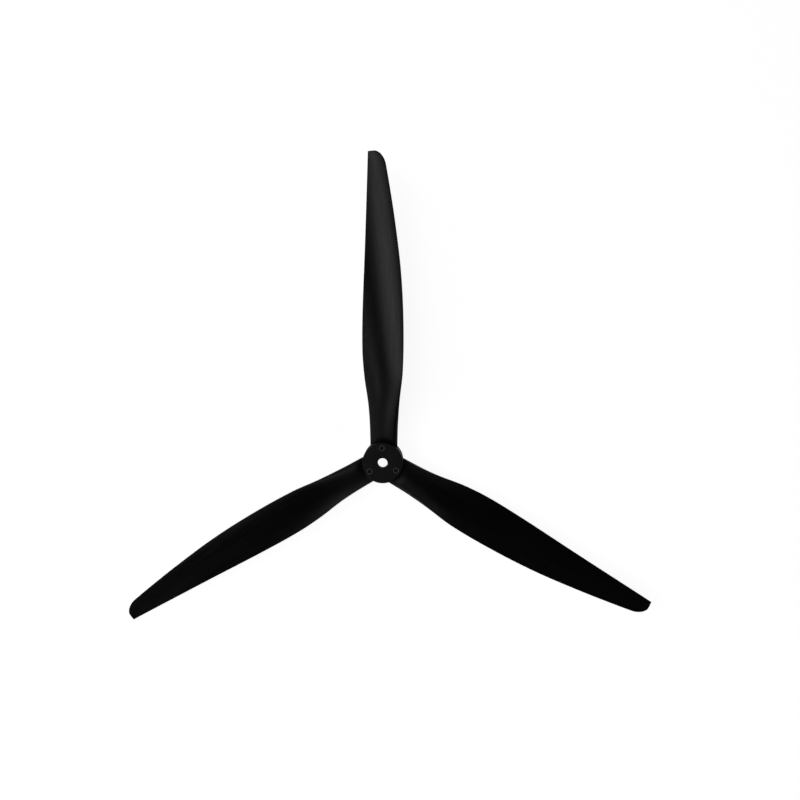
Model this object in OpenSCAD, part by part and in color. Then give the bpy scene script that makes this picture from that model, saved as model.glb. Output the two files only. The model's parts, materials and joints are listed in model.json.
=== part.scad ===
// Three-blade propeller, moulded in one piece, with a loose centring ring under its hub.
// +Z is the shaft axis and points the way the thrust goes. The origin is at the middle of the shaft bore.
// Blade 1 lies along +Y. Seen from +Z the propeller turns clockwise: each blade leads on its clockwise side.

/* [Blades] */
// Diameter of the circle that the tips sweep
prop_d = 304.8; // [270:0.1:340]
// Distance that the blade's helix advances in one turn
pitch = 152.4; // [120:0.1:180]
// Steepest blade angle, near a fifth of the radius
root_angle = 28; // [26:0.5:32]
// Share of that angle that has gone again where the blade meets the hub
root_untwist = 0.2; // [0:0.05:0.8]
// Height of the tips above the blade roots
tip_rise = 4; // [0:0.5:8]
// Camber of the blade section beside the hub, as a share of its chord
camber = 0.045; // [0.02:0.005:0.07]
// Thickness of the blade's edges
edge_t = 0.5; // [0.4:0.1:0.8]
// Thickness of the edges beside the hub
root_edge_t = 2.8; // [1.6:0.1:3.2]

/* [Hub] */
// Diameter of the hub
hub_d = 20.4; // [20:0.1:22]
// Height of the hub
hub_h = 11; // [10.5:0.5:13]
// Diameter of the bore for the motor shaft
bore_d = 5; // [4:0.1:6]
// Thickness of the web that the bore goes through
web_t = 4; // [3:0.5:4.5]
// Bevel on the hub's rims
hub_bevel = 0.5; // [0.2:0.1:0.8]
// Bevel at the mouths of the bore
bore_bevel = 0.3; // [0.2:0.1:0.5]

/* [Centring ring] */
// Diameter of the recess that holds the ring
recess_d = 12; // [11.5:0.1:13]
// Diameter of the hole in the ring
ring_bore_d = 8; // [7:0.1:9]
// Gap between the ring and the recess, on the radius
ring_fit = 0.05; // [0.02:0.01:0.1]

/* [Moulding marks] */
// Outer diameter of the raised rims on the hub's top
mark_d = 3; // [2.4:0.1:3.4]
// Height of the raised rims
mark_h = 0.3; // [0.2:0.05:0.4]
// Depth of the ejector pin marks
pin_mark_depth = 0.25; // [0.1:0.05:0.4]

/* [Hidden] */
$fn = 96;

blade_count = 3;
tip_r = prop_d / 2;
hub_r = hub_d / 2;
top_z = web_t / 2;
seat_z = top_z - hub_h;
ceiling_z = -web_t / 2;
root_z = seat_z + 0.54 * hub_h;

// How far each edge stands from the blade's own line, as [radius, distance] in shares of the tip radius
lead_line = [[0.03, 0.046], [0.12, 0.054], [0.20, 0.063], [0.30, 0.078], [0.46, 0.086],
             [0.62, 0.084], [0.78, 0.071], [0.90, 0.057], [1.00, 0.043]];
trail_line = [[0.03, 0.041], [0.12, 0.039], [0.19, 0.042], [0.28, 0.052], [0.37, 0.055],
              [0.50, 0.048], [0.70, 0.031], [0.86, 0.018], [1.00, 0.007]];
// How much thicker the middle of the section is than its edges, as a share of its chord
bow_line = [[0.03, 0.19], [0.10, 0.18], [0.20, 0.14], [0.32, 0.10], [0.50, 0.085],
            [0.75, 0.06], [1.00, 0.045]];
// How far the thickest place of the section lies ahead of its middle
bow_skew = 0.35;
// Share of the camber that has gone at the tip
camber_loss = 0.55;
// The edges thin out, and the twist sets in, between these shares of the tip radius
arm_end = 0.09;
blade_start = 0.26;
// Size of the rounded corner between the leading edge and the tip
corner_span = 0.045;
corner_depth = 0.030;
// How softly the helix gives way to the root angle
angle_blend = 4;

root_stations = 17;
tip_stations = 7;
section_points = 13;
inner_station = 0.04;
mark_ring_r = 0.75 * hub_r;
mark_rim = 0.55;
mark_depth = 0.5;
pin_mark_d = 2.2;
ring_gap = 0.1;
ring_bevel = 0.4;
sink = 0.2;

// A smooth curve through [place, value] pairs
function step_of(line, u, i = 0) = i >= len(line) - 2 || u <= line[i + 1][0] ? i : step_of(line, u, i + 1);
function slope_at(line, i) =
    let (a = line[max(i - 1, 0)], b = line[min(i + 1, len(line) - 1)]) (b[1] - a[1]) / (b[0] - a[0]);
function along(line, u) =
    let (i = step_of(line, u), a = line[i], b = line[i + 1], w = b[0] - a[0], t = (u - a[0]) / w)
    a[1] * (1 + 2 * t) * (1 - t) * (1 - t) + b[1] * t * t * (3 - 2 * t)
    + w * slope_at(line, i) * t * (1 - t) * (1 - t) - w * slope_at(line, i + 1) * t * t * (1 - t);

// Blade geometry at u, the share of the tip radius
function corner_share(u) = min(1, max(0, (u - 1 + corner_span) / corner_span));
function corner_cut(u) = corner_depth * (1 - sqrt(1 - pow(corner_share(u), 2)));
function lead_x(u) = tip_r * (along(lead_line, u) - corner_cut(u));
function trail_x(u) = -tip_r * along(trail_line, u);
function arm_share(u) =
    let (t = min(1, max(0, (blade_start - u) / (blade_start - arm_end)))) t * t * (3 - 2 * t);
function helix_angle(u) = atan(pitch / (2 * PI * u * tip_r));
function free_angle(u) =
    helix_angle(u) - angle_blend * ln(1 + exp((helix_angle(u) - root_angle) / angle_blend));
function blade_angle(u) = free_angle(u) * (1 - root_untwist * arm_share(u));
function chord(u) = (lead_x(u) - trail_x(u)) / cos(blade_angle(u));
function middle_z(u) = root_z + tip_rise * u * u;

// A point of the section, in shares of the chord: side is 1 on top, -1 beneath
function edge_r(u) = (edge_t + (root_edge_t - edge_t) * arm_share(u)) / 2;
function rounded(d, r) = let (t = min(1, d / r)) sqrt(t * (2 - t));
function bow(s) = 2 * s * (1 - s) * (1 + bow_skew * (1 - 2 * s));
function section_point(u, s, side) =
    let (c = chord(u), a = blade_angle(u), r = edge_r(u),
         half = c * along(bow_line, u) * bow(s) + r * rounded(s * c, r) * rounded((1 - s) * c, r),
         across = side * half + camber * (1 - camber_loss * u * u) * c * 4 * s * (1 - s),
         x = lead_x(u) - s * c * cos(a) - across * sin(a),
         z = middle_z(u) + (0.5 - s) * c * sin(a) + across * cos(a))
    [x, u * tip_r, z];
function spread(i) = (1 - cos(180 * i / (section_points - 1))) / 2;
function section(u) = concat(
    [for (i = [section_points - 1 : -1 : 0]) section_point(u, spread(i), 1)],
    [for (i = [1 : section_points - 2]) section_point(u, spread(i), -1)]);

stations = concat(
    [for (i = [0 : root_stations - 1]) inner_station + (1 - corner_span - inner_station) * i / root_stations],
    [for (i = [0 : tip_stations]) 1 - corner_span + corner_span * sin(90 * i / tip_stations)]);

// The blade along +Y, cut off by the hub's side
module blade() {
    ring = 2 * section_points - 2;
    last = len(stations) - 1;
    points = [for (u = stations) each section(u)];
    sides = [for (k = [0 : last - 1], i = [0 : ring - 1])
        let (a = k * ring + i, b = k * ring + (i + 1) % ring)
        each [[a, b, b + ring], [a, b + ring, a + ring]]];
    half = section_points - 1;
    ends = [for (k = [0, last], i = [0 : half - 1])
        let (a = k * ring + i, b = a + 1, c = k * ring + ring - 1 - i, d = k * ring + (ring - i) % ring)
        each k == 0 ? [[a, c, b], [a, d, c]] : [[a, b, c], [a, c, d]]];
    caps = [for (f = ends) if (f[0] != f[1] && f[1] != f[2] && f[0] != f[2]) f];
    color("#15161a") difference() {
        polyhedron(points, concat(sides, caps));
        translate([0, 0, seat_z - 5]) cylinder(h = hub_h + 10, d = hub_d);
    }
}

module blade_at(number) {
    rotate(-360 / blade_count * (number - 1)) blade();
}

module hub_body() {
    rotate_extrude() polygon([
        [bore_d / 2, ceiling_z + bore_bevel], [bore_d / 2 + bore_bevel, ceiling_z], [recess_d / 2, ceiling_z],
        [recess_d / 2, seat_z + bore_bevel], [recess_d / 2 + bore_bevel, seat_z], [hub_r - hub_bevel, seat_z],
        [hub_r, seat_z + hub_bevel], [hub_r, top_z - hub_bevel], [hub_r - hub_bevel, top_z],
        [bore_d / 2 + bore_bevel, top_z], [bore_d / 2, top_z - bore_bevel]]);
}

// A ring of three places, one in line with each blade, or between them with turn = 60
module thrice(turn = 0) {
    for (k = [0 : blade_count - 1]) rotate(360 / blade_count * k + turn) children();
}

module hub() {
    color("#1d1e22") difference() {
        union() {
            hub_body();
            thrice() translate([0, mark_ring_r, top_z - sink]) cylinder(h = mark_h + sink, d = mark_d);
        }
        thrice() translate([0, mark_ring_r, top_z - mark_depth])
            cylinder(h = mark_depth + mark_h + 1, d = mark_d - 2 * mark_rim);
        thrice(60) translate([0, (recess_d + hub_d) / 4, seat_z - 1])
            cylinder(h = 1 + pin_mark_depth, d = pin_mark_d);
    }
}

module centring_ring() {
    outer = recess_d / 2 - ring_fit;
    inner = ring_bore_d / 2;
    low = seat_z + ring_gap;
    high = ceiling_z - ring_gap;
    color("#2b2c30") rotate_extrude() polygon([
        [inner, low + ring_bevel], [inner + ring_bevel, low],
        [outer - ring_bevel, low], [outer, low + ring_bevel],
        [outer, high - ring_bevel], [outer - ring_bevel, high],
        [inner + ring_bevel, high], [inner, high - ring_bevel]]);
}

hub();
blade_at(1);  // blade_1
blade_at(2);  // blade_2
blade_at(3);  // blade_3
centring_ring();
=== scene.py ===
"""Three-blade propeller moulded in black glass-filled nylon, with a loose centring ring under its hub.

Lengths are in metres and angles in degrees, unless a name says otherwise. The blade's numbers are shares of
the tip radius and repeat those of the part's source, so that the fine meshes lie where the CAD solids do.
"""

import json
import math

import bpy
from mathutils import Matrix, Vector


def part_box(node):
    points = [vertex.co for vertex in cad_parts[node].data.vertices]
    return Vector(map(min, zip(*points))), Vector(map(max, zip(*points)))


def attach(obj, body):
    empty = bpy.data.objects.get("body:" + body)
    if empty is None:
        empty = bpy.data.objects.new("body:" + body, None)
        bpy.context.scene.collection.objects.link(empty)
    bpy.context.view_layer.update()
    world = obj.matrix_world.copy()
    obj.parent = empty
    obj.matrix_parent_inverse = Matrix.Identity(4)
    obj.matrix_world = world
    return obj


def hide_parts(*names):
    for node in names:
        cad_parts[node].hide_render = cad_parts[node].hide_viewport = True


MM = 0.001
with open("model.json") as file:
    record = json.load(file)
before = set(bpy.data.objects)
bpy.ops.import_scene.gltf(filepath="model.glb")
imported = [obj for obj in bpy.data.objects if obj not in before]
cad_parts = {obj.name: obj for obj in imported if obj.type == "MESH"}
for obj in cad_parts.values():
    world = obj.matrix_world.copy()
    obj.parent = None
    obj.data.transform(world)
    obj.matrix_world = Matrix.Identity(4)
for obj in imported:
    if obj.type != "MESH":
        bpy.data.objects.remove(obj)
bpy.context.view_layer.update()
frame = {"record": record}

# ---------------------------------------------------------------- sizes, from the frame
MOUNTS = {m["name"]: m for m in frame["record"]["mounts"]}
HUB_LOW, HUB_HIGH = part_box("hub")
RING_LOW, RING_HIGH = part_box("centring_ring")
HUB_R = HUB_HIGH.x
SEAT_Z = HUB_LOW.z
TOP_Z = MOUNTS["nut_seat"]["pos_m"][2]
CEILING_Z = -TOP_Z
BORE_R = MOUNTS["shaft_bore"]["dims"]["r_mm"] * MM
RING_BORE_R = MOUNTS["ring_bore"]["dims"]["r_mm"] * MM
RING_FIT = 0.05 * MM
RECESS_R = RING_HIGH.x + RING_FIT
TIP_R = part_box("blade_1")[1].y
BLADES = 3

# ---------------------------------------------------------------- sizes of the mouldings
PITCH = TIP_R
ROOT_ANGLE = 28
ROOT_UNTWIST = 0.20
ANGLE_BLEND = 4.0
TIP_RISE = 4 * MM
CAMBER = 0.045
CAMBER_LOSS = 0.55
EDGE_T = 0.5 * MM
ROOT_EDGE_T = 2.8 * MM
ROOT_Z = SEAT_Z + 0.54 * (TOP_Z - SEAT_Z)
CORNER_SPAN = 0.045
CORNER_DEPTH = 0.030
LEAD_LINE = [(0.03, 0.046), (0.12, 0.054), (0.20, 0.063), (0.30, 0.078), (0.46, 0.086),
             (0.62, 0.084), (0.78, 0.071), (0.90, 0.057), (1.00, 0.043)]
TRAIL_LINE = [(0.03, 0.041), (0.12, 0.039), (0.19, 0.042), (0.28, 0.052), (0.37, 0.055),
              (0.50, 0.048), (0.70, 0.031), (0.86, 0.018), (1.00, 0.007)]
BOW_LINE = [(0.03, 0.19), (0.10, 0.18), (0.20, 0.14), (0.32, 0.10), (0.50, 0.085),
            (0.75, 0.06), (1.00, 0.045)]
BOW_SKEW = 0.35
ARM_END = 0.09
BLADE_START = 0.26

CHORD_POINTS = 44
EDGE_CROWDING = 0.30
ROOT_REACH = 9 * MM
ROOT_SINK = 0.35 * MM
ROOT_CROWDING = 1.6
ROOT_ROWS = 20
SPAN_ROWS = 84
TIP_ROWS = 18
ROOT_RISE = 1.4 * MM
ROOT_SWEEP = 4.5 * MM
SIDE_FILLET = 0.6 * MM
TIP_ROUND = 0.35 * MM
TIP_LEAST = 0.25
WORN_WIDTH = 1.2 * MM
# How far apart the blades, and the two sides of a blade, lie in the material's pattern
PATTERN_STEP = 0.31
PATTERN_SIDE = 0.004

RIM_ROUND = 0.5 * MM
MOUTH_ROUND = 0.3 * MM
RECESS_ROUND = 0.2 * MM
MARK_PLACE_R = 0.75 * HUB_R
MARK_R = 1.5 * MM
MARK_RIM = 0.55 * MM
MARK_HEIGHT = HUB_HIGH.z - TOP_Z
MARK_DEPTH = 0.5 * MM
MARK_ROUND = 0.2 * MM
MARK_MOUTH = 0.15 * MM
MARK_SINK = 0.3 * MM
PIN_MARK_R = 1.1 * MM
PIN_MARK_DEPTH = 0.25 * MM
RING_ROUND = 0.4 * MM
AROUND = 192
MARK_AROUND = 64
ROUND_STEPS = 6
# Turns of the marks' solids in shares of a step, so that no two of their edges meet
RIM_TURN = 0.37
POCKET_TURN = 0.81
BORE_LINE_PITCH = 0.25 * MM

# ---------------------------------------------------------------- camera
VIEW_DISTANCE = 2.2 * TIP_R
VIEW_TILT = 4.42
VIEW_LEAN = -1.48
VIEW_ROLL = 2.19
VIEW_SHIFT_X = -0.0569 * TIP_R
VIEW_SHIFT_Y = -0.2061 * TIP_R
VIEW_ANGLE = 61.8


def make_camera():
    """Looks down at the propeller's top from close by, a little off its axis."""
    tilt = Matrix.Rotation(math.radians(VIEW_TILT), 4, "X")
    lean = Matrix.Rotation(math.radians(VIEW_LEAN), 4, "Y")
    roll = Matrix.Rotation(math.radians(VIEW_ROLL), 4, "Z")
    turn = tilt @ lean @ roll
    to_camera = Matrix.Translation((VIEW_SHIFT_X, VIEW_SHIFT_Y, -VIEW_DISTANCE)) @ turn
    data = bpy.data.cameras.new("camera")
    data.sensor_width = 36
    data.lens = data.sensor_width / 2 / math.tan(math.radians(VIEW_ANGLE / 2))
    data.clip_start = 0.01
    camera = bpy.data.objects.new("camera", data)
    camera.matrix_world = to_camera.inverted()
    bpy.context.collection.objects.link(camera)
    bpy.context.scene.camera = camera


# ---------------------------------------------------------------- stage and light
# The table is far enough below the hub for the ring to come out
RING_TRAVEL = 15 * MM
TABLE_GAP = 0.2 * MM
TABLE_R = 1.5
WALL_BEND = 1.5
WALL_HEIGHT = 3.0
WALL_THICKNESS = 0.05
BEND_STEPS = 24
BACKDROP_GLOW = 0.90
LIGHT_DISTANCE = 1.2
# The room's brightness as (height, value) pairs, from straight down to straight up
ROOM_GLOW = [(-1.0, 0.45), (-0.35, 0.45), (-0.16, 0.13), (-0.03, 0.12), (0.03, 0.10), (0.12, 0.04),
             (0.30, 0.013), (1.0, 0.012)]


# ---------------------------------------------------------------- blade geometry
def along(line, u):
    """A smooth curve through (place, value) pairs."""
    last = len(line) - 1
    i = next((k for k in range(last) if u <= line[k + 1][0]), last - 1)

    def slope(k):
        a, b = line[max(k - 1, 0)], line[min(k + 1, last)]
        return (b[1] - a[1]) / (b[0] - a[0])

    w = line[i + 1][0] - line[i][0]
    t = (u - line[i][0]) / w
    ends = line[i][1] * (1 + 2 * t) * (1 - t) ** 2 + line[i + 1][1] * t * t * (3 - 2 * t)
    return ends + w * slope(i) * t * (1 - t) ** 2 - w * slope(i + 1) * t * t * (1 - t)


def lead_x(u):
    t = min(1.0, max(0.0, (u - 1 + CORNER_SPAN) / CORNER_SPAN))
    return TIP_R * (along(LEAD_LINE, u) - CORNER_DEPTH * (1 - math.sqrt(1 - t * t)))


def trail_x(u):
    return -TIP_R * along(TRAIL_LINE, u)


def smooth(t):
    t = min(1.0, max(0.0, t))
    return t * t * (3 - 2 * t)


def arm_share(u):
    """1 beside the hub and 0 on the blade proper."""
    return smooth((BLADE_START - u) / (BLADE_START - ARM_END))


def blade_angle(u):
    """In radians. The helix angle, which gives way softly to the root angle and drops a little at the hub."""
    helix = math.degrees(math.atan(PITCH / (2 * math.pi * u * TIP_R)))
    free = helix - ANGLE_BLEND * math.log(1 + math.exp((helix - ROOT_ANGLE) / ANGLE_BLEND))
    return math.radians(free * (1 - ROOT_UNTWIST * arm_share(u)))


def edge_r(u):
    """Radius of the section's edges, which thin out from the hub to the blade proper."""
    return (EDGE_T + (ROOT_EDGE_T - EDGE_T) * arm_share(u)) / 2


def rounded_edge(d, r):
    t = min(1.0, d / r)
    return math.sqrt(t * (2 - t))


def bow(s):
    return 2 * s * (1 - s) * (1 + BOW_SKEW * (1 - 2 * s))


def section_point(u, s, side, thin=1.0):
    """(x, z) of the section at u. s is 0 at the leading and 1 at the trailing edge, and side is 1 on top."""
    angle = blade_angle(u)
    chord = (lead_x(u) - trail_x(u)) / math.cos(angle)
    r = edge_r(u)
    edges = rounded_edge(s * chord, r) * rounded_edge((1 - s) * chord, r)
    half = (chord * along(BOW_LINE, u) * bow(s) + r * edges) * thin
    across = side * half + CAMBER * (1 - CAMBER_LOSS * u * u) * chord * 4 * s * (1 - s)
    x = lead_x(u) - s * chord * math.cos(angle) - across * math.sin(angle)
    z = ROOT_Z + TIP_RISE * u * u + (0.5 - s) * chord * math.sin(angle) + across * math.cos(angle)
    return x, z


def root_rise(distance):
    """How much higher the arm's top is near the hub, where it sweeps up towards the hub's top."""
    return ROOT_RISE * max(0.0, 1 - max(0.0, distance) / ROOT_SWEEP) ** 2


def quarter(distance, radius):
    """How far a fillet of this radius stands out at a distance from the wall that it runs into."""
    left = min(radius, max(0.0, radius - max(0.0, distance)))
    return radius - math.sqrt(radius**2 - left**2)


def chord_places():
    """(s, side) round the section, over the top from the trailing to the leading edge and back underneath.

    The points crowd towards both edges, where the surface turns fastest.
    """
    turns = [math.pi * i / (CHORD_POINTS - 1) for i in range(CHORD_POINTS)]
    shares = [(1 - math.cos(a - EDGE_CROWDING * math.sin(2 * a))) / 2 for a in turns]
    return [(s, 1) for s in reversed(shares)] + [(s, -1) for s in shares[1:-1]]


def section_normals(ring):
    """Outward directions of a closed ring of (x, z) points that runs anticlockwise seen from the tip."""
    out = []
    for i in range(len(ring)):
        a, b = ring[i - 1], ring[(i + 1) % len(ring)]
        d = Vector((b[0] - a[0], b[1] - a[1]))
        out.append(Vector((d.y, -d.x)).normalized())
    return out


def root_row(reach):
    u = (HUB_R + reach) / TIP_R
    flat = [section_point(u, s, side) for s, side in chord_places()]
    normals = section_normals(flat)
    row = []
    for (x, z), n in zip(flat, normals):
        round_y = math.sqrt(max(0.0, (HUB_R + reach) ** 2 - x * x))
        y = round_y + (HUB_R + reach - round_y) * smooth(reach / ROOT_REACH)
        away = math.hypot(x, y) - HUB_R
        x += n.x * quarter(away, SIDE_FILLET)
        z += n.y * root_rise(away)
        z = max(SEAT_Z + RIM_ROUND, min(TOP_Z - RIM_ROUND, z))
        row.append((x, y, z))
    return row


def blade_rows():
    crowded = [(i / ROOT_ROWS) ** ROOT_CROWDING for i in range(ROOT_ROWS)]
    rows = [root_row(-ROOT_SINK + (ROOT_REACH + ROOT_SINK) * share) for share in crowded]
    start = (HUB_R + ROOT_REACH) / TIP_R
    bend = 1 - CORNER_SPAN
    shares = [start + (bend - start) * i / SPAN_ROWS for i in range(SPAN_ROWS)]
    shares += [bend + CORNER_SPAN * math.sin(math.pi / 2 * i / TIP_ROWS) for i in range(TIP_ROWS + 1)]
    for u in shares:
        past = max(0.0, (u * TIP_R - (TIP_R - TIP_ROUND)) / TIP_ROUND)
        thin = max(TIP_LEAST, math.sqrt(max(0.0, 1 - past * past)))
        points = [section_point(u, s, side, thin) for s, side in chord_places()]
        rows.append([(x, u * TIP_R, z) for x, z in points])
    return rows


def closed_tube(rows):
    """(vertices, faces) of the surface through rows of points, closed at both ends by strips."""
    n = len(rows[0])
    faces = []
    for k in range(len(rows) - 1):
        for i in range(n):
            a, b = k * n + i, k * n + (i + 1) % n
            faces.append((a, b, b + n, a + n))
    last = (len(rows) - 1) * n
    for i in range(n // 2):
        strip = list(dict.fromkeys((i, i + 1, n - 1 - i, (n - i) % n)))
        faces.append(tuple(reversed(strip)))
        faces.append(tuple(last + v for v in strip))
    return [p for row in rows for p in row], faces


def make_blade(number):
    """One blade. It keeps what the material needs: places along chord and span, its edges and its arm."""
    rows = blade_rows()
    vertices, faces = closed_tube(rows)
    mesh = bpy.data.meshes.new(f"blade_{number}_moulding")
    mesh.from_pydata(vertices, [], faces)
    mesh.validate()
    mesh.attributes.new("place", "FLOAT_VECTOR", "POINT")
    mesh.attributes.new("edge", "FLOAT", "POINT")
    mesh.attributes.new("arm", "FLOAT", "POINT")
    place, edge, arm = mesh.attributes["place"], mesh.attributes["edge"], mesh.attributes["arm"]
    places = chord_places()
    for i, (x, y, z) in enumerate(vertices):
        s, side = places[i % len(places)]
        u = min(1.0, max(LEAD_LINE[0][0], y / TIP_R))
        width = lead_x(u) - trail_x(u)
        place.data[i].vector = (s * width, y + PATTERN_STEP * number, PATTERN_SIDE * side)
        inwards = min(s * width, (1 - s) * width, TIP_R - y)
        edge.data[i].value = max(0.0, 1 - inwards / WORN_WIDTH)
        arm.data[i].value = arm_share(u)
    mesh.transform(Matrix.Rotation(math.radians(-360 / BLADES * (number - 1)), 4, "Z"))
    mesh.polygons.foreach_set("use_smooth", [True] * len(mesh.polygons))
    blade = bpy.data.objects.new(f"blade_{number}_moulding", mesh)
    bpy.context.collection.objects.link(blade)
    return blade


# ---------------------------------------------------------------- round mouldings
def rounded(corners):
    """A closed outline of (r, z) points from corners (r, z, radius), each corner rounded to its radius."""
    out = []
    for i, (r, z, radius) in enumerate(corners):
        here = Vector((r, z))
        before = (Vector(corners[i - 1][:2]) - here).normalized()
        after = (Vector(corners[(i + 1) % len(corners)][:2]) - here).normalized()
        if radius == 0:
            out.append(here)
            continue
        half = before.angle(after) / 2
        start = here + before * radius / math.tan(half)
        end = here + after * radius / math.tan(half)
        centre = here + (before + after).normalized() * radius / math.sin(half)
        a, b = start - centre, end - centre
        sweep = a.angle(b)
        for k in range(ROUND_STEPS + 1):
            t = k / ROUND_STEPS
            out.append(centre + (a * math.sin((1 - t) * sweep) + b * math.sin(t * sweep)) / math.sin(sweep))
    return [(p.x, p.y) for p in out]


def lathe(name, outline, around=AROUND, centre=(0, 0), turn=0.0):
    """A solid of revolution. Points on the axis become one vertex each.

    The turn, in shares of a step, keeps the edges of two solids that are combined off each other.
    """
    vertices, faces, rings = [], [], []
    for r, z in outline:
        if r < 1e-9:
            rings.append([len(vertices)] * around)
            vertices.append((centre[0], centre[1], z))
            continue
        rings.append(list(range(len(vertices), len(vertices) + around)))
        for k in range(around):
            a = 2 * math.pi * (k + turn) / around
            vertices.append((centre[0] + r * math.cos(a), centre[1] + r * math.sin(a), z))
    for i in range(len(rings)):
        a, b = rings[i], rings[(i + 1) % len(rings)]
        if a[0] == a[1] and b[0] == b[1]:
            continue
        for k in range(around):
            m = (k + 1) % around
            faces.append(tuple(dict.fromkeys((a[k], a[m], b[m], b[k]))))
    mesh = bpy.data.meshes.new(name)
    mesh.from_pydata(vertices, [], faces)
    mesh.validate()
    piece = bpy.data.objects.new(name, mesh)
    bpy.context.collection.objects.link(piece)
    return piece


def combine(piece, tool, operation):
    """Adds or cuts the tool's solid, then removes the tool."""
    step = piece.modifiers.new("step", "BOOLEAN")
    step.operation = operation
    step.object = tool
    step.solver = "EXACT"
    bpy.context.view_layer.update()
    shape = piece.evaluated_get(bpy.context.evaluated_depsgraph_get())
    result = bpy.data.meshes.new_from_object(shape)
    piece.modifiers.clear()
    piece.data = result
    bpy.data.objects.remove(tool, do_unlink=True)


def shade(piece, sharpest=30):
    """Smooth faces, with sharp edges where the surface turns by more than an angle or meets a flat face."""
    mesh = piece.data
    mesh.polygons.foreach_set("use_smooth", [True] * len(mesh.polygons))
    flat = {p.index for p in mesh.polygons if len(p.vertices) > 5}
    beside = {}
    for p in mesh.polygons:
        for key in p.edge_keys:
            beside.setdefault(key, []).append(p.index)
    limit = math.cos(math.radians(sharpest))
    for e in mesh.edges:
        pair = beside.get(e.key, [])
        if len(pair) != 2:
            continue
        turned = mesh.polygons[pair[0]].normal.dot(mesh.polygons[pair[1]].normal) < limit
        e.use_edge_sharp = turned or len(flat.intersection(pair)) == 1


def place_round(number, turn=0.0):
    """(x, y) of unit length in line with a blade, or between blades with turn = 60."""
    a = math.radians(90 - 360 / BLADES * (number - 1) + turn)
    return math.cos(a), math.sin(a)


def mark_rim(centre):
    """The raised disc of a moulding mark, before its pocket is cut."""
    low = TOP_Z - MARK_SINK
    high = TOP_Z + MARK_HEIGHT
    outline = rounded([(0, low, 0), (MARK_R, low, 0), (MARK_R, high, MARK_ROUND), (0, high, 0)])
    return lathe("rim", outline, MARK_AROUND, centre, RIM_TURN)


def mark_pocket(centre):
    """The space inside a moulding mark, which widens at its mouth."""
    pocket_r = MARK_R - MARK_RIM
    floor = TOP_Z - MARK_DEPTH
    top = TOP_Z + MARK_HEIGHT
    outline = rounded([
        (0, floor, 0), (pocket_r, floor, MARK_ROUND), (pocket_r, top - MARK_MOUTH, 0),
        (pocket_r + MARK_MOUTH, top + 0.01 * MM, 0), (pocket_r + MARK_MOUTH, top + MM, 0), (0, top + MM, 0)])
    return lathe("pocket", outline, MARK_AROUND, centre, POCKET_TURN)


def pin_mark(centre):
    """The shallow round mark that an ejector pin leaves in the seat."""
    low = SEAT_Z - MM
    high = SEAT_Z + PIN_MARK_DEPTH
    outline = [(0, low), (PIN_MARK_R, low), (PIN_MARK_R, high), (0, high)]
    return lathe("pin_mark", outline, MARK_AROUND, centre, RIM_TURN)


def make_hub():
    hub = lathe("hub_moulding", rounded([
        (BORE_R, CEILING_Z, MOUTH_ROUND), (RECESS_R, CEILING_Z, RECESS_ROUND),
        (RECESS_R, SEAT_Z, MOUTH_ROUND), (HUB_R, SEAT_Z, RIM_ROUND),
        (HUB_R, TOP_Z, RIM_ROUND), (BORE_R, TOP_Z, MOUTH_ROUND)]))
    seat_middle = (RECESS_R + HUB_R) / 2
    for number in range(1, BLADES + 1):
        x, y = place_round(number)
        centre = (x * MARK_PLACE_R, y * MARK_PLACE_R)
        combine(hub, mark_rim(centre), "UNION")
        combine(hub, mark_pocket(centre), "DIFFERENCE")
        x, y = place_round(number, 60)
        combine(hub, pin_mark((x * seat_middle, y * seat_middle)), "DIFFERENCE")
    shade(hub)
    return hub


def make_ring():
    low, high = RING_LOW.z, RING_HIGH.z
    ring = lathe("centring_ring_moulding", rounded([
        (RING_BORE_R, low, RING_ROUND), (RING_HIGH.x, low, RING_ROUND), (RING_HIGH.x, high, RING_ROUND),
        (RING_BORE_R, high, RING_ROUND)]))
    shade(ring)
    return ring


# ---------------------------------------------------------------- materials
NYLON_IOR = 1.53


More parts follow.
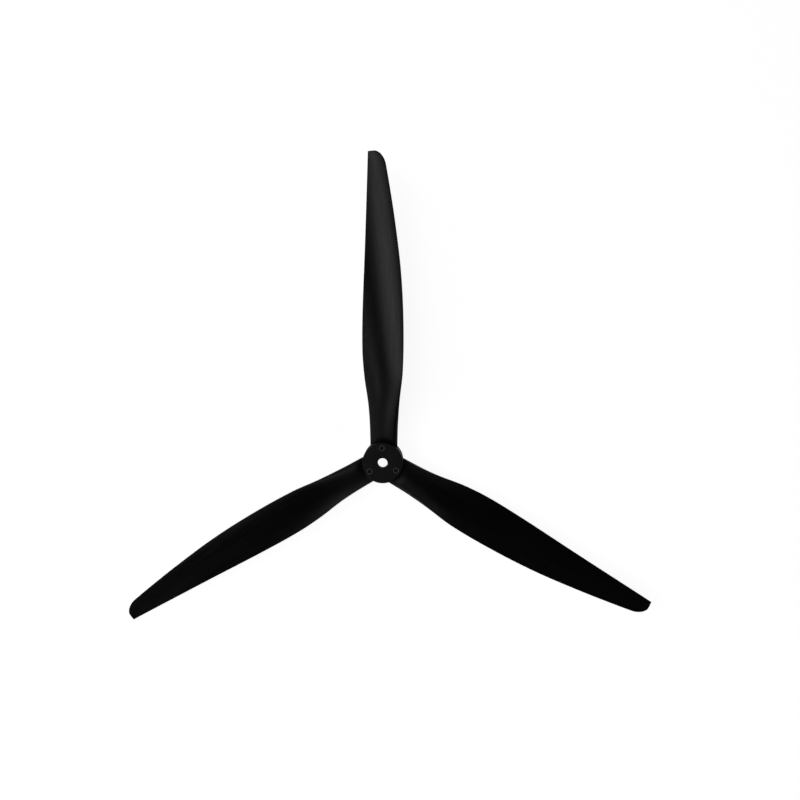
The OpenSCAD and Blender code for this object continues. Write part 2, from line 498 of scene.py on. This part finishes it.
class Shader:
    """A material under construction: short calls that add nodes and link them."""

    def __init__(self, name):
        self.material = bpy.data.materials.new(name)
        self.material.use_nodes = True
        self.tree = self.material.node_tree
        self.surface = self.tree.nodes["Principled BSDF"]

    def node(self, kind, values=None, **settings):
        made = self.tree.nodes.new(kind)
        for name, value in settings.items():
            setattr(made, name, value)
        for name, value in (values or {}).items():
            if isinstance(value, bpy.types.NodeSocket):
                self.tree.links.new(value, made.inputs[name])
            else:
                made.inputs[name].default_value = value
        return made

    def set(self, name, value):
        if isinstance(value, bpy.types.NodeSocket):
            self.tree.links.new(value, self.surface.inputs[name])
        else:
            self.surface.inputs[name].default_value = value

    def attribute(self, name, output="Vector"):
        return self.node("ShaderNodeAttribute", attribute_name=name).outputs[output]

    def object_place(self):
        return self.node("ShaderNodeTexCoord").outputs["Object"]

    def stretched(self, place, scale):
        return self.node("ShaderNodeMapping", {"Vector": place, "Scale": scale}).outputs["Vector"]

    def noise(self, place, scale, detail=3.0, rough=0.55):
        return self.node("ShaderNodeTexNoise", {
            "Vector": place, "Scale": scale, "Detail": detail, "Roughness": rough}).outputs["Fac"]

    def band(self, value, low, high, to_low=0.0, to_high=1.0):
        limits = {"Value": value, "From Min": low, "From Max": high, "To Min": to_low, "To Max": to_high}
        return self.node("ShaderNodeMapRange", limits).outputs["Result"]

    def maths(self, operation, a, b):
        return self.node("ShaderNodeMath", {0: a, 1: b}, operation=operation).outputs[0]

    def mix(self, share, a, b):
        made = self.node("ShaderNodeMix", data_type="RGBA")
        for index, value in ((0, share), (6, a), (7, b)):
            if isinstance(value, bpy.types.NodeSocket):
                self.tree.links.new(value, made.inputs[index])
            else:
                made.inputs[index].default_value = value
        return made.outputs[2]

    def bump(self, height, distance, strength=1.0, under=None):
        values = {"Height": height, "Distance": distance, "Strength": strength}
        if under is not None:
            values["Normal"] = under
        return self.node("ShaderNodeBump", values).outputs["Normal"]

    def specks(self, place, per_metre, size, share):
        """1 inside small round specks, which lie in a share of the cells of a grid."""
        cells = self.node("ShaderNodeTexVoronoi", {"Vector": place, "Scale": per_metre})
        dot = self.band(cells.outputs["Distance"], size * per_metre, 0.6 * size * per_metre)
        chance = self.node("ShaderNodeSeparateColor", {"Color": cells.outputs["Color"]}).outputs["Red"]
        chosen = self.band(chance, share, share - 0.001)
        return self.maths("MULTIPLY", dot, chosen)


def grey(value, blue=1.1):
    return (value, value, value * blue, 1)


def blade_nylon():
    """Satin black with glass fibres: flow streaks along the span, fine grain, scuffs and a few specks."""
    m = Shader("blade_nylon")
    place = m.attribute("place")
    whole = m.object_place()
    streaks = m.noise(m.stretched(place, (700, 45, 200)), 1.0, 5.0, 0.6)
    fibres = m.band(m.noise(m.stretched(place, (5200, 620, 900)), 1.0, 2.0, 0.5), 0.64, 0.74)
    scuffs = m.band(m.noise(m.stretched(whole, (260, 3400, 600)), 1.0, 2.0, 0.5), 0.69, 0.75)
    grain = m.noise(whole, 2600, 2.0)
    waves = m.noise(m.stretched(place, (120, 28, 60)), 1.0, 1.0)
    patchy = m.band(m.noise(whole, 420, 4.0), 0.45, 0.7)
    worn = m.maths("MULTIPLY", m.attribute("edge", "Fac"), patchy)
    specks = m.specks(whole, 75, 0.22 * MM, 0.08)
    colour = m.mix(m.band(streaks, 0.35, 0.7), grey(0.0022), grey(0.0050))
    colour = m.mix(m.maths("MULTIPLY", fibres, 0.35), colour, grey(0.016))
    colour = m.mix(m.maths("MULTIPLY", worn, 0.5), colour, grey(0.020))
    colour = m.mix(m.maths("MULTIPLY", scuffs, 0.25), colour, grey(0.022))
    colour = m.mix(specks, colour, grey(0.22, 1.0))
    m.set("Base Color", colour)
    rough = m.band(streaks, 0.3, 0.7, 0.28, 0.36)
    rough = m.maths("ADD", rough, m.band(grain, 0.3, 0.7, -0.03, 0.03))
    rough = m.maths("ADD", rough, m.maths("MULTIPLY", worn, 0.08))
    m.set("Roughness", m.maths("ADD", rough, m.maths("MULTIPLY", m.attribute("arm", "Fac"), 0.18)))
    m.set("IOR", NYLON_IOR)
    m.set("Sheen Weight", 0.05)
    m.set("Sheen Roughness", 0.4)
    normal = m.bump(waves, 0.10 * MM, 0.25)
    normal = m.bump(grain, 0.012 * MM, 0.5, normal)
    m.set("Normal", m.bump(fibres, 0.006 * MM, 0.6, normal))
    return m.material


def hub_nylon():
    """Matte black from a spark-eroded mould: an even fine grain, with turned lines in the bore."""
    m = Shader("hub_nylon")
    whole = m.object_place()
    grain = m.noise(whole, 3400, 3.0, 0.6)
    cloud = m.noise(whole, 260, 3.0)
    apart = m.node("ShaderNodeSeparateXYZ", {"Vector": whole})
    radius = m.maths("POWER", m.maths("ADD", m.maths("POWER", apart.outputs["X"], 2.0),
                                      m.maths("POWER", apart.outputs["Y"], 2.0)), 0.5)
    in_bore = m.band(radius, 1.10 * BORE_R, 1.02 * BORE_R)
    turned = m.maths("SINE", m.maths("MULTIPLY", apart.outputs["Z"], 2 * math.pi / BORE_LINE_PITCH), 0.0)
    nicks = m.band(m.noise(whole, 900, 4.0), 0.66, 0.74)
    colour = m.mix(m.band(cloud, 0.35, 0.7), grey(0.0045), grey(0.0070))
    colour = m.mix(m.maths("MULTIPLY", m.band(grain, 0.5, 0.75), 0.4), colour, grey(0.018))
    colour = m.mix(m.maths("MULTIPLY", nicks, 0.25), colour, grey(0.030))
    # The tops of the raised marks are coloured a lighter grey, in patches.
    raised = m.band(apart.outputs["Z"], TOP_Z + 0.1 * MM, TOP_Z + 0.25 * MM)
    lighter_mark_tops = m.maths("MULTIPLY", raised, m.band(m.noise(whole, 1300, 3.0), 0.35, 0.6, 0.45, 1.0))
    colour = m.mix(lighter_mark_tops, colour, grey(0.24))
    m.set("Base Color", colour)
    m.set("Roughness", m.band(cloud, 0.3, 0.7, 0.56, 0.66))
    m.set("IOR", NYLON_IOR)
    normal = m.bump(grain, 0.03 * MM, 0.7)
    m.set("Normal", m.bump(m.maths("MULTIPLY", turned, in_bore), 0.008 * MM, 0.8, normal))
    return m.material


def ring_nylon():
    """Unfilled nylon, a little lighter and smoother, with the lines of a turned mould core."""
    m = Shader("ring_nylon")
    whole = m.object_place()
    cloud = m.noise(whole, 500, 3.0)
    lines = m.noise(m.stretched(whole, (200, 200, 9000)), 1.0, 2.0)
    m.set("Base Color", m.mix(m.band(cloud, 0.3, 0.7), grey(0.020), grey(0.032)))
    m.set("Roughness", m.band(cloud, 0.3, 0.7, 0.38, 0.48))
    m.set("IOR", NYLON_IOR)
    normal = m.bump(lines, 0.01 * MM, 0.6)
    m.set("Normal", m.bump(m.noise(whole, 2600, 2.0), 0.01 * MM, 0.5, normal))
    return m.material


def backdrop_white():
    """Evenly lit white paper."""
    m = Shader("backdrop_white")
    m.set("Base Color", (0.9, 0.9, 0.9, 1))
    m.set("Roughness", 0.9)
    m.set("Emission Color", (1, 1, 1, 1))
    m.set("Emission Strength", BACKDROP_GLOW)
    return m.material


# ---------------------------------------------------------------- stage
def make_backdrop():
    """A white table that curves up into a wall. It stays out of the reflections, which see the world."""
    z = SEAT_Z - RING_TRAVEL - TABLE_GAP
    turns = [math.pi / 2 * i / BEND_STEPS for i in range(BEND_STEPS + 1)]
    curve = [(TABLE_R + WALL_BEND * math.sin(a), z + WALL_BEND * (1 - math.cos(a))) for a in turns]
    wall_r = TABLE_R + WALL_BEND
    outside = [(wall_r, z + WALL_HEIGHT), (wall_r + WALL_THICKNESS, z + WALL_HEIGHT),
               (wall_r + WALL_THICKNESS, z - WALL_THICKNESS), (0, z - WALL_THICKNESS)]
    backdrop = lathe("backdrop", [(0, z)] + curve + outside, 96)
    backdrop.data.polygons.foreach_set("use_smooth", [True] * len(backdrop.data.polygons))
    backdrop.data.materials.append(backdrop_white())
    backdrop.visible_glossy = False
    backdrop.visible_diffuse = False
    backdrop.visible_shadow = False


def make_light(name, place, width, height, power):
    """A softbox that faces the hub and isn't itself seen."""
    data = bpy.data.lights.new(name, "AREA")
    data.shape = "RECTANGLE"
    data.size = width
    data.size_y = height
    data.energy = power
    light = bpy.data.objects.new(name, data)
    light.location = place
    light.rotation_mode = "QUATERNION"
    light.rotation_quaternion = (-Vector(place)).to_track_quat("-Z", "Y")
    light.visible_camera = False
    bpy.context.collection.objects.link(light)


def make_world():
    """What the object reflects: a dark studio overhead, and a pale table and room below and round it."""
    world = bpy.data.worlds.new("studio")
    world.use_nodes = True
    tree = world.node_tree
    back = tree.nodes["Background"]
    place = tree.nodes.new("ShaderNodeTexCoord")
    apart = tree.nodes.new("ShaderNodeSeparateXYZ")
    share = tree.nodes.new("ShaderNodeMapRange")
    share.inputs["From Min"].default_value = -1.0
    glow = tree.nodes.new("ShaderNodeValToRGB")
    stops = glow.color_ramp.elements
    while len(stops) < len(ROOM_GLOW):
        stops.new(0.5)
    for stop, (height, value) in zip(stops, ROOM_GLOW):
        stop.position = (height + 1) / 2
        stop.color = (value, value, value, 1)
    tree.links.new(place.outputs["Generated"], apart.inputs["Vector"])
    tree.links.new(apart.outputs["Z"], share.inputs["Value"])
    tree.links.new(share.outputs["Result"], glow.inputs["Fac"])
    tree.links.new(glow.outputs["Color"], back.inputs["Color"])
    bpy.context.scene.world = world


def softbox(name, azimuth, elevation, width, height, radiance):
    """A light by its direction. Azimuth is anticlockwise from +X, and the radiance is that of its face."""
    a = math.radians(azimuth)
    e = math.radians(elevation)
    direction = Vector((math.cos(e) * math.cos(a), math.cos(e) * math.sin(a), math.sin(e)))
    make_light(name, LIGHT_DISTANCE * direction, width, height, radiance * math.pi * width * height)


# ---------------------------------------------------------------- the object
def finish_piece(piece, node, body, material):
    piece.data.materials.clear()
    piece.data.materials.append(material)
    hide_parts(node)
    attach(piece, body)


make_camera()
nylon = blade_nylon()
for number in range(1, BLADES + 1):
    finish_piece(make_blade(number), f"blade_{number}", "propeller", nylon)
finish_piece(make_hub(), "hub", "propeller", hub_nylon())
finish_piece(make_ring(), "centring_ring", "ring", ring_nylon())

make_backdrop()
make_world()
softbox("key", 152, 68, 0.52, 0.84, 0.95)
softbox("side", 188, 20, 0.60, 0.30, 0.45)
softbox("front", 236, 21, 0.50, 0.36, 1.8)
softbox("right", 330, 22, 0.55, 0.36, 0.25)
softbox("behind", 124, 14, 0.50, 0.30, 0.60)
bpy.context.scene.view_settings.view_transform = "Standard"
